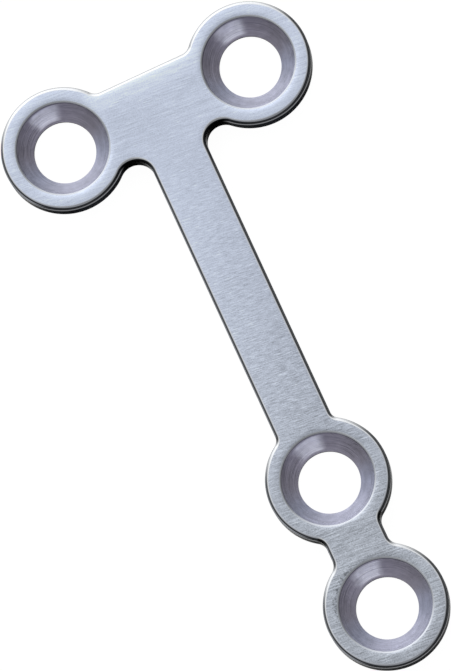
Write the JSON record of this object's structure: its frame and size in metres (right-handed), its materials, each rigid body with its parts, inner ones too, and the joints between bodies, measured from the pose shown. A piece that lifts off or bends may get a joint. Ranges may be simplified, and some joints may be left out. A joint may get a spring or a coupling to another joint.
{
  "type": "orthopedic bone plate",
  "caption": "Flat T-shaped bone plate with countersunk screw eyes on its head and at the end of its shaft; it holds small bone fragments together.",
  "frame": {"origin": "on the bone face, where the line through the two head holes crosses the middle line of the shaft", "axes": "+Z out of the screw face, +Y from the shaft to the head, +X along the head"},
  "size_m": [0.0118, 0.0245, 0.001],
  "materials": {
    "brushed_metal": "fine brushed face with polished edges and turned countersinks"
  },
  "bodies": {
    "root": {"bone_plate": "brushed_metal"}
  },
  "joints": []
}
